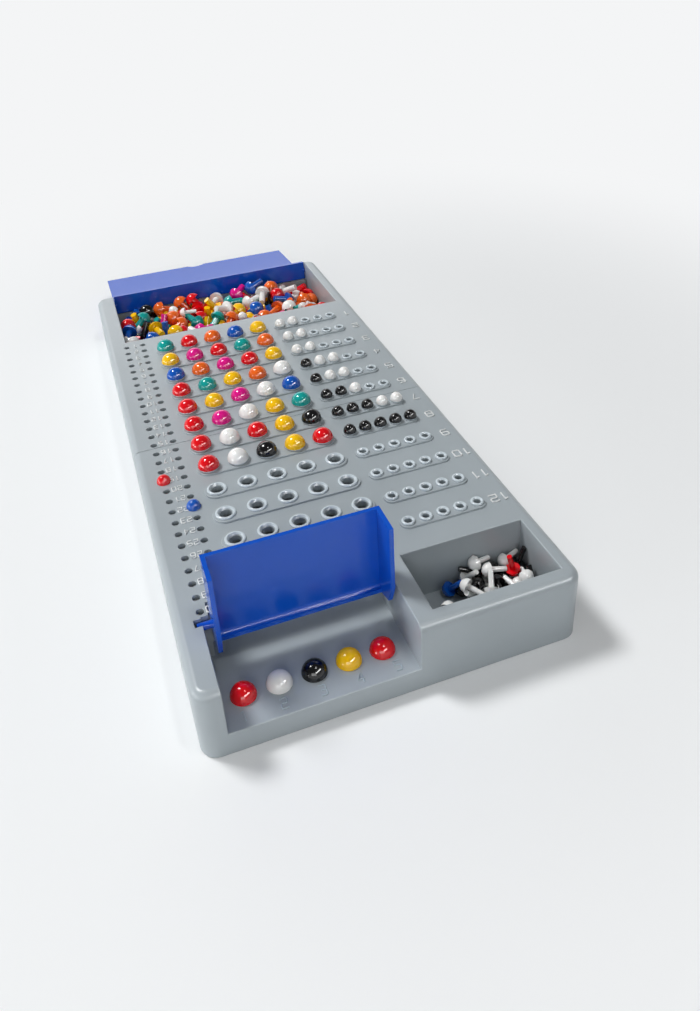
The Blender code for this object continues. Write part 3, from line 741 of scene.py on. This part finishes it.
# %% [markdown]
# ## One peg of each kind
# A peg is half a ball on a stem. The ball is cut in half, its flat side is pulled down into a
# short skirt, inset, and extruded down into the stem, whose tip is bevelled. The code peg has a
# nine millimetre head, the key peg one of under six that stands a little taller for its width.

# %% Model the pegs
def model_peg(name, head_r, dome, stem_r, stem, segments=32, rings=16, loose=False):
    """A peg at the origin: head above the base plane, stem below it."""
    deselect()
    bpy.ops.mesh.primitive_uv_sphere_add(segments=segments, ring_count=rings,
                                         radius=head_r * MM, location=(0, 0, 0))
    peg = settle(name)
    bpy.ops.object.mode_set(mode="EDIT")
    bpy.ops.mesh.select_all(action="SELECT")
    bpy.ops.mesh.bisect(plane_co=(0, 0, 0), plane_no=(0, 0, 1), clear_inner=True, use_fill=True)
    bpy.ops.mesh.select_all(action="SELECT")
    bpy.ops.transform.resize(value=(1, 1, dome / head_r))
    leave()
    for ring_below in range(1, rings // 2):
        height = dome * math.cos(math.pi * ring_below / rings)
        pick(peg, "vertices", level(height))
        straighter = 1 - DOME_TAPER * height / dome
        bpy.ops.transform.resize(value=(straighter, straighter, 1))
        leave()
    steps = [(STEP, stem_r / head_r), (stem, 0.9)] if loose else [
        (SKIRT, SKIRT_SHARE), (STEP, stem_r / (head_r * SKIRT_SHARE)), (stem - 0.5, 0.96),
        (0.3, 0.9), (0.2, 0.72)]
    for depth, grow in steps:
        low = min(vertex.co.z for vertex in peg.data.vertices) / MM
        pick(peg, "polygons", level(low))
        pull(-depth, grow)
    return smooth(peg, 40)


# How far the dome narrows below a ball's round, the skirt below it, and the step to the stem
DOME_TAPER, SKIRT, SKIRT_SHARE, STEP = 0.16, 0.12, 0.98, 0.02
CODE_PEG = dict(head_r=4.5, dome=4.4, stem_r=2.0, stem=8.0)
KEY_PEG = dict(head_r=2.9, dome=3.25, stem_r=1.1, stem=6.5)
patterns = {
    "code": model_peg("code_pattern", **CODE_PEG),
    "key": model_peg("key_pattern", **KEY_PEG, segments=24, rings=12),
    "loose_code": model_peg("loose_code_pattern", **CODE_PEG, segments=14, rings=6, loose=True),
    "loose_key": model_peg("loose_key_pattern", **KEY_PEG, segments=10, rings=6, loose=True),
}
for kind, pattern in patterns.items():
    print(kind, "peg:", len(pattern.data.polygons), "faces")

# %% [markdown]
# ## Set the pegs
# Each peg is a copy with its own mesh, put in its place inside that mesh. The forty pegs of the
# guesses, the five of the hidden code and the two score markers stand for solids of the frame.

# %% Pegs in play
def copy_of(kind, name, where):
    """A peg like the pattern, moved inside its own mesh."""
    peg = bpy.data.objects.new(name, patterns[kind].data.copy())
    bpy.context.scene.collection.objects.link(peg)
    peg.data.transform(where)
    return peg


def set_peg(kind, name, colour, spot, body, *nodes):
    """A peg in its place and colour, moving with its body."""
    finish(copy_of(kind, name, Matrix.Translation(spot)), peg_finish[colour],
           "peg_" + colour, body, *nodes)


GUESSES = {
    1: "teal red orange blue yellow", 2: "yellow magenta red teal orange",
    3: "blue orange magenta red yellow", 4: "red teal yellow orange white",
    5: "red yellow magenta white blue", 6: "red magenta white yellow teal",
    7: "red white red yellow black", 8: "red white black yellow red",
}
SECRET_CODE = "red white black yellow red"
# The heads stand this far off the rims
SEAT = 0.1
for row, guess in GUESSES.items():
    for column, colour in enumerate(guess.split()):
        set_peg("code", f"peg_row_{row}_{column + 1}", colour,
                at(CODE_X + column * CODE_PITCH, row_y(row), RIM_TOP + SEAT),
                f"guess_{row}", f"guess_{row}_peg_{column + 1}")
for column, colour in enumerate(SECRET_CODE.split()):
    node = f"secret_peg_{column + 1}"
    set_peg("code", f"hidden_peg_{column + 1}", colour,
            at(SECRET_X + column * SECRET_PITCH, SECRET_Y, FLOOR_TOP + SEAT), node, node)
for colour, column, row in (("red", 0, 19), ("blue", 1, 22)):
    node = f"score_marker_{colour}"
    set_peg("key", "marker_" + colour, colour,
            at(SCORE_X + column * SCORE_GAP, score_y(row), HEIGHT + SEAT), node, node)
print("guesses set:", len(GUESSES), "and the hidden code:", SECRET_CODE)

# %% [markdown]
# ## The answers beside each guess
# Black and white key pegs score each guess. They stay with their half of the board.

# %% Key pegs
ANSWERS = {1: "WW", 2: "WW", 3: "WW", 4: "BWW", 5: "BWW", 6: "BBW", 7: "BBBWW", 8: "BBBBB"}
for row, answer in ANSWERS.items():
    for column, letter in enumerate(answer):
        set_peg("key", f"answer_{row}_{column + 1}", "white" if letter == "W" else "black",
                at(KEY_X + column * KEY_PITCH, row_y(row), COLLAR_TOP + SEAT / 2),
                "rear_half" if row <= SEAM_ROW else "front_half")
print("key pegs:", sum(len(answer) for answer in ANSWERS.values()))

# %% [markdown]
# ## Loose pegs
# The spare pegs lie in a heap in the tray, and the spare key pegs in the well. Their places were
# found by letting the same shapes fall into the two hollows in a physics run, once, and are kept
# here for each colour: kind, place in board millimetres, and turn in degrees. So every run of
# this script gives the same heap. Pegs of one colour are joined into one piece.

# %% Heaps of loose pegs
TRAY_HEAP = {
    "white": """
key 14.9 247.1 11.6 -102 -45 -45; key 17.6 282.7 11.5 -44 -69 -132;
code 43.4 255.6 13.1 -31 66 176; code 68.1 268.8 13.3 -77 51 -47;
key 67.0 286.1 11.6 -69 74 -151; key 84.5 282.6 11.5 69 -43 -95;
code 102.7 259.7 13.2 -68 49 55; key 100.9 287.0 11.5 -44 69 103;
key 126.4 257.2 11.5 -74 14 27; code 14.4 277.7 13.3 -124 -22 120;
code 23.6 296.1 13.3 101 -25 108; key 40.2 250.6 18.1 79 4 -103;
key 48.5 253.6 12.1 -138 -10 -123; key 60.5 245.6 12.0 -130 12 -79;
code 69.4 295.8 18.3 -63 -72 -66; key 83.2 245.4 15.7 134 41 113;
key 69.3 259.6 12.1 147 29 -24; key 105.3 246.6 11.8 -117 13 -65;
code 111.4 290.0 17.8 119 -34 -140; key 124.0 273.8 11.5 74 14 -17;
code 13.6 256.5 19.5 87 -61 24; key 47.5 250.5 16.2 74 -4 169; key 31.5 301.3 11.6 -102 44 88;
code 58.3 249.3 17.1 -162 80 -112; key 63.6 251.3 20.1 177 65 -138;
key 85.7 259.4 18.0 -136 -70 65; key 86.7 252.4 15.4 -8 -7 -44;
code 87.2 284.2 17.7 -99 -42 122; key 93.6 300.5 11.5 -69 43 25;
code 93.1 247.2 19.0 -35 -45 102; key 109.6 254.1 15.6 157 -39 144;
key 115.9 266.4 16.5 41 22 -41; code 125.1 266.5 13.3 123 0 82; code 117.7 289.6 13.1 59 47 50;
key 41.3 281.9 22.7 -14 22 133; code 106.1 260.8 20.7 20 14 169;
key 111.8 246.1 21.8 92 -18 -34; code 49.7 247.2 21.6 -158 79 142;
key 78.0 263.2 19.5 77 20 21; code 96.6 286.7 20.9 -70 11 -15; key 47.0 275.8 23.3 -94 18 72;
code 71.3 275.2 21.0 110 -23 109""",
    "black": """
key 18.9 265.0 11.6 -82 -10 -81; code 27.4 258.1 13.1 59 -47 62;
key 65.2 255.1 11.5 -74 15 -94; code 21.3 267.3 18.0 164 -22 -116;
code 41.1 264.3 13.3 -102 0 103; code 50.4 261.8 15.6 34 21 -28;
key 58.1 276.6 11.9 -121 13 -152; code 90.4 247.1 13.4 113 24 -97;
code 84.8 298.2 13.3 -172 -32 -13; key 106.3 295.5 18.2 178 40 142;
code 26.7 295.2 19.3 43 -21 -38; key 71.8 253.0 11.9 121 13 -93;
key 78.6 289.9 12.1 -131 13 15; key 125.0 296.4 11.6 102 44 19; key 99.1 283.3 15.3 -178 6 26""",
    "blue": """
code 15.9 269.7 13.4 105 45 -45; code 17.8 298.7 13.4 -153 -12 85;
code 77.2 296.5 13.1 67 -24 152; code 84.8 289.3 13.4 -93 0 71; code 27.0 273.7 13.1 -59 48 92;
code 80.8 255.2 13.3 -161 54 113; code 103.2 280.0 13.1 31 66 38;
code 13.6 271.6 19.5 53 -65 -167; code 24.7 255.5 20.2 -56 -40 -165;
code 87.7 267.9 20.5 -15 54 -77; code 97.0 266.4 13.4 -150 -24 -127;
code 92.1 296.0 21.8 107 39 -57; code 33.6 262.5 17.5 -174 -10 -117;
code 109.1 278.3 17.6 -107 -9 -83""",
    "teal": """
code 28.8 249.3 13.3 155 23 19; code 40.5 247.3 13.4 -84 26 -81;
code 61.3 272.0 13.3 -132 73 -137; code 92.4 282.6 13.1 -31 -66 -171;
code 108.8 265.6 15.3 76 79 -67; code 34.7 278.6 15.6 154 -30 67;
code 23.4 284.8 19.6 -41 -39 -107; code 51.9 269.5 18.8 -107 -10 -144;
code 64.0 267.1 19.7 -60 10 -43; code 76.0 285.8 19.1 -80 -59 96""",
    "orange": """
code 28.5 266.5 13.2 46 59 -136; code 64.0 294.8 13.4 -93 -3 6;
code 74.9 260.1 13.1 31 -66 108; code 76.8 267.0 13.1 -67 24 71;
code 92.9 254.4 13.1 -67 24 32; code 99.9 249.8 13.1 59 -47 56;
code 112.7 273.3 13.4 151 0 120; code 111.5 297.4 13.1 -67 24 154;
code 35.1 254.0 13.2 -49 -56 119; code 43.5 280.6 13.4 -141 -38 -173;
code 90.3 258.5 18.7 -36 7 -59; code 97.6 274.0 13.1 67 -24 75;
code 116.8 247.1 17.8 2 -32 -30; code 125.1 280.3 13.1 -67 24 -76;
code 42.8 268.8 19.5 57 42 74; code 47.7 295.8 20.3 14 41 173; code 71.1 289.9 14.0 -60 -9 47;
code 39.9 277.5 20.2 11 -59 75; code 71.6 263.8 19.3 -12 -48 -127;
code 100.6 267.3 18.3 -81 52 -43; code 103.2 291.4 21.2 21 -15 -167;
code 118.1 255.6 18.4 129 5 -162; code 119.9 277.7 15.4 -92 -28 175;
code 35.2 295.6 19.1 -71 0 103""",
    "red": """
code 25.0 281.0 13.1 -31 66 128; code 40.6 287.8 13.1 -69 0 -146;
code 52.7 283.6 13.1 -31 -66 -38; code 76.7 282.6 13.4 -115 -76 -81;
code 112.9 260.3 13.2 74 25 -13; code 110.8 285.7 13.1 59 47 22;
code 18.8 249.9 16.8 -131 18 -24; code 16.3 259.4 13.4 -176 -4 -173;
code 47.7 288.6 15.3 -50 -13 -30; code 55.8 277.8 16.7 4 55 16;
code 59.4 289.8 13.4 157 -30 -168; code 78.9 275.4 13.4 142 70 11;
code 119.5 261.5 13.1 -69 2 -5; code 14.0 281.5 18.8 16 20 -50; code 42.1 260.2 18.3 65 10 114;
code 105.0 284.5 18.9 -14 -16 139; code 119.9 296.2 13.3 162 54 -56;
code 125.1 287.5 13.2 -16 -68 -124; code 56.2 286.3 19.1 -96 -30 -41;
code 67.8 277.3 15.5 -104 -20 136; code 82.6 247.2 21.5 93 -29 98;
code 125.2 257.4 16.8 -33 -41 -90; code 55.3 295.8 20.8 47 27 -147;
code 90.8 293.8 13.7 139 -24 68""",
    "yellow": """
code 33.1 287.8 13.1 68 21 128; code 45.7 296.8 13.1 -67 -24 -141;
code 47.9 272.2 13.1 -60 44 114; code 54.1 296.6 13.1 -67 26 -25;
code 87.9 276.6 13.5 -136 -59 132; code 106.0 271.8 13.1 31 -66 -80;
code 101.9 292.8 13.4 -115 0 -66; code 115.4 251.2 13.3 -137 41 42;
code 14.0 288.6 13.3 -171 -35 110; code 20.7 288.2 15.4 -179 -19 27;
code 56.5 267.3 13.3 -157 -26 -171; code 62.2 260.7 13.3 135 -41 -76;
code 82.6 266.2 15.4 -38 23 -144; code 97.8 295.8 16.9 -3 -11 -92;
code 67.3 254.9 16.9 59 57 68; code 61.2 282.1 13.3 173 -4 136;
code 66.3 284.2 18.4 -144 -2 -85; code 78.0 272.3 19.6 49 0 96;
code 108.2 247.2 15.9 31 17 -125; code 125.4 248.4 13.4 175 -20 -167;
code 37.9 256.7 21.1 -78 13 -174; code 37.1 296.4 13.3 162 -54 116;
code 28.4 264.5 21.7 89 -44 -164""",
    "magenta": """
code 40.4 272.4 13.2 -46 59 72; code 51.8 247.0 13.1 69 0 -113;
code 55.2 256.4 13.1 -31 -66 133; code 64.8 248.9 13.1 67 -24 75;
code 77.4 247.0 13.1 67 -26 -102; code 89.0 262.9 13.3 46 72 72;
code 25.1 247.1 18.0 -40 45 -143; code 90.6 270.2 14.1 -24 -56 -130;
code 100.4 255.1 17.4 -10 2 94; code 32.8 272.5 17.7 147 -6 -43;
code 52.4 254.9 19.9 -81 37 128; code 82.0 294.0 20.2 115 58 -22""",
}
WELL_HEAP = {
    "white": """
key 104.4 19.7 7.5 69 -43 -135; key 114.1 19.2 7.8 -113 -23 59; key 112.6 28.1 7.6 -102 -15 18;
key 122.7 27.6 7.5 -74 -14 -96; key 106.3 24.0 8.1 147 -34 76; key 123.0 18.1 7.8 -149 -62 -51;
key 106.7 31.0 10.5 -141 -3 33; key 114.2 27.7 14.3 -82 3 82; key 123.4 21.5 9.6 33 -39 -30;
key 118.7 31.4 7.8 -175 -63 -168; key 92.4 11.9 7.5 74 14 101; key 120.3 17.7 12.1 90 -43 14;
key 111.3 20.3 12.6 -139 42 119; key 125.1 19.6 14.0 71 15 -20;
key 122.6 31.0 13.3 -111 -78 131; key 103.5 24.0 13.6 -83 -3 34; key 94.8 22.2 7.5 -44 69 0;
key 110.4 31.5 15.8 -65 69 129""",
    "black": """
key 104.1 28.8 7.5 74 15 -73; key 118.5 21.5 7.6 -54 62 56; key 99.8 18.6 7.5 74 -14 -120;
key 115.3 23.3 11.7 -45 70 32; key 110.6 31.4 11.8 113 43 92; key 119.8 27.9 9.5 -57 18 157;
key 108.2 20.2 8.2 -145 25 -178; key 113.1 14.1 7.5 74 -14 -94; key 108.3 26.1 11.0 48 76 56;
key 127.7 23.7 8.6 -77 -18 11; key 116.6 30.3 11.5 36 7 152; key 127.6 18.2 11.0 -163 -48 -119;
key 127.0 29.0 12.4 158 -7 -102; key 103.9 10.3 7.5 -44 -69 43""",
    "red": """
key 122.9 25.7 13.5 -171 -12 -36""",
    "blue": """
key 99.3 30.3 8.1 138 10 -124""",
}


def pile(name, body, heap):
    """Copies of the plain pegs at their places, joined by colour."""
    count = 0
    for colour, rows in heap.items():
        pegs = []
        for row in rows.split(";"):
            kind, *values = row.split()
            x, y, z, *turn = [float(value) for value in values]
            lean = Euler([math.radians(angle) for angle in turn]).to_matrix().to_4x4()
            pegs.append(copy_of("loose_" + kind, "loose",
                                Matrix.Translation(at(x, y, z)) @ lean))
        finish(join(f"{name}_{colour}", pegs), peg_finish[colour], "peg_" + colour, body)
        count += len(pegs)
    return count


print("loose pegs:", pile("tray_pegs", "rear_half", TRAY_HEAP),
      pile("well_pegs", "front_half", WELL_HEAP))

# %% [markdown]
# ## Light, floor and camera
# A plain pale floor and six lamps. The main one stands high and far behind on the left, so the
# board's shadow falls to the front right. Three wide soft boxes, low behind, on the left and in
# front, draw long bright lines on the rounded edges and the glossy pegs, and a small lamp
# overhead puts one hard spark on every peg, as a studio does with moulded plastic. A long strip
# at the front right is seen only in reflections and draws the bright line along the front edge.
# Near the board the floor is lit and keeps the shadow. Further out it turns into its plain paper
# colour, so that the background stays even. The room is dim, but the eye sees it pale, and a
# mirrored ray sees it pale near the table and dark overhead, which gives plastic its contrast.

# %% Floor and lamps
deselect()
bpy.ops.mesh.primitive_plane_add(size=12, location=(0, 0, -0.0002))
floor = bpy.context.active_object
floor.name = "floor"
PAPER, NEAR_PAPER = linear("#F4F5F6"), linear("#EEF0F1")
# The floor turns from lit to plain between these distances from the middle, in metres
LIT_TO, PLAIN_FROM = 0.16, 0.46


def seen_directly(tree):
    """1 for rays that the eye, a mirror or a glass sends, else 0."""
    rays = add_node(tree, "ShaderNodeLightPath").outputs
    return maths(tree, "MAXIMUM", maths(tree, "MAXIMUM", rays["Is Camera Ray"],
                                        rays["Is Glossy Ray"]), rays["Is Transmission Ray"])


paper = bpy.data.materials.new("floor_paper")
paper.use_nodes = True
tree = paper.node_tree
lit = tree.nodes["Principled BSDF"]
lit.inputs["Base Color"].default_value = NEAR_PAPER
lit.inputs["Roughness"].default_value = 0.9
lit.inputs["Specular IOR Level"].default_value = 0.1
place = add_node(tree, "ShaderNodeTexCoord").outputs["Object"]
away = add_node(tree, "ShaderNodeVectorMath", {"operation": "LENGTH"}, place).outputs["Value"]
far = add_node(tree, "ShaderNodeMapRange", {"interpolation_type": "SMOOTHSTEP"}, away, LIT_TO,
               PLAIN_FROM).outputs["Result"]
plain = add_node(tree, "ShaderNodeEmission", {"Color": PAPER, "Strength": 1.0})
unlit = maths(tree, "MULTIPLY", far, seen_directly(tree))
blend = add_node(tree, "ShaderNodeMixShader", None, unlit, lit.outputs["BSDF"],
                 plain.outputs["Emission"])
tree.links.new(blend.outputs["Shader"], tree.nodes["Material Output"].inputs["Surface"])
floor.data.materials.append(paper)


def lamp(name, place, target, size, power):
    """A soft box at a place, turned to a target, of this width, height and power in watts."""
    data = bpy.data.lights.new(name, "AREA")
    data.shape = "RECTANGLE"
    data.size, data.size_y = size
    data.energy = power
    thing = bpy.data.objects.new(name, data)
    bpy.context.scene.collection.objects.link(thing)
    thing.location = place
    thing.rotation_euler = (Vector(target) - Vector(place)).to_track_quat("-Z", "Y").to_euler()
    return thing


lamp("main_behind_left", (-1.15, 1.0, 2.5), (0, 0, 0), (0.7, 0.7), 58.0)
lamp("softbox_behind", (-0.05, 1.15, 0.45), (0, 0.2, 0.02), (1.0, 0.3), 2.2)
lamp("softbox_left", (-1.3, -0.05, 0.14), (0, 0, 0.03), (1.2, 0.16), 6.2)
lamp("softbox_in_front", (-0.35, -0.95, 0.45), (0, 0, 0.02), (0.7, 0.35), 2.7)
lamp("small_overhead", (0.2, -0.42, 1.1), (0, 0, 0), (0.1, 0.1), 1.5)
edge_light = lamp("strip_front_right", (0.42, -0.85, 0.72), (0.03, -0.18, 0.03), (1.1, 0.16),
                  10.0)
edge_light.visible_diffuse = False
ROOM_LIGHT, CEILING_LOW, CEILING_HIGH = 0.14, 0.12, 0.55
world = bpy.data.worlds.new("studio")
bpy.context.scene.world = world
world.use_nodes = True
tree = world.node_tree
dim = tree.nodes["Background"]
dim.inputs["Color"].default_value = PAPER
dim.inputs["Strength"].default_value = ROOM_LIGHT
pale = add_node(tree, "ShaderNodeBackground", {"Color": PAPER, "Strength": 1.0})
heading = add_node(tree, "ShaderNodeSeparateXYZ", None,
                   add_node(tree, "ShaderNodeTexCoord").outputs["Generated"])
walls = add_node(tree, "ShaderNodeMapRange", {"interpolation_type": "SMOOTHSTEP"},
                 heading.outputs["Z"], CEILING_LOW, CEILING_HIGH, 1.0, 0.0).outputs["Result"]
mirrored = maths(tree, "MULTIPLY", walls, seen_directly(tree))
share = maths(tree, "MAXIMUM", mirrored,
              add_node(tree, "ShaderNodeLightPath").outputs["Is Camera Ray"])
sky = add_node(tree, "ShaderNodeMixShader", None, share, dim.outputs["Background"],
               pale.outputs["Background"])
tree.links.new(sky.outputs["Shader"], tree.nodes["World Output"].inputs["Surface"])
bpy.context.scene.view_settings.view_transform = "Standard"
print("lamps and floor set")

# %% [markdown]
# ## The camera
# Its place, turn and focal length were found by matching the board's holes with their places in
# the photograph, whose middle lies below the middle of the frame: hence the small shift.

# %% Camera
CAMERA_PLACE = (-3.82, -178.80, 238.66)
CAMERA_TURN = (61.093, 2.795, -19.946)
FOCAL_PX, IMAGE_HIGH, MIDDLE_PX = 846.45, 1011.0, 350.0
SENSOR = 36.0
eye = bpy.data.cameras.new("camera")
eye.sensor_fit = "VERTICAL"
eye.sensor_height = eye.sensor_width = SENSOR
eye.lens = FOCAL_PX / IMAGE_HIGH * SENSOR
eye.shift_y = (MIDDLE_PX - IMAGE_HIGH / 2) / IMAGE_HIGH
eye.clip_start, eye.clip_end = 0.01, 20
camera = bpy.data.objects.new("camera", eye)
bpy.context.scene.collection.objects.link(camera)
camera.location = at(*CAMERA_PLACE)
camera.rotation_euler = Euler([math.radians(angle) for angle in CAMERA_TURN])
bpy.context.scene.camera = camera
print("camera lens", round(eye.lens, 2), "mm")

# %% Finish
for pattern in patterns.values():
    bpy.data.objects.remove(pattern, do_unlink=True)
bpy.context.view_layer.update()
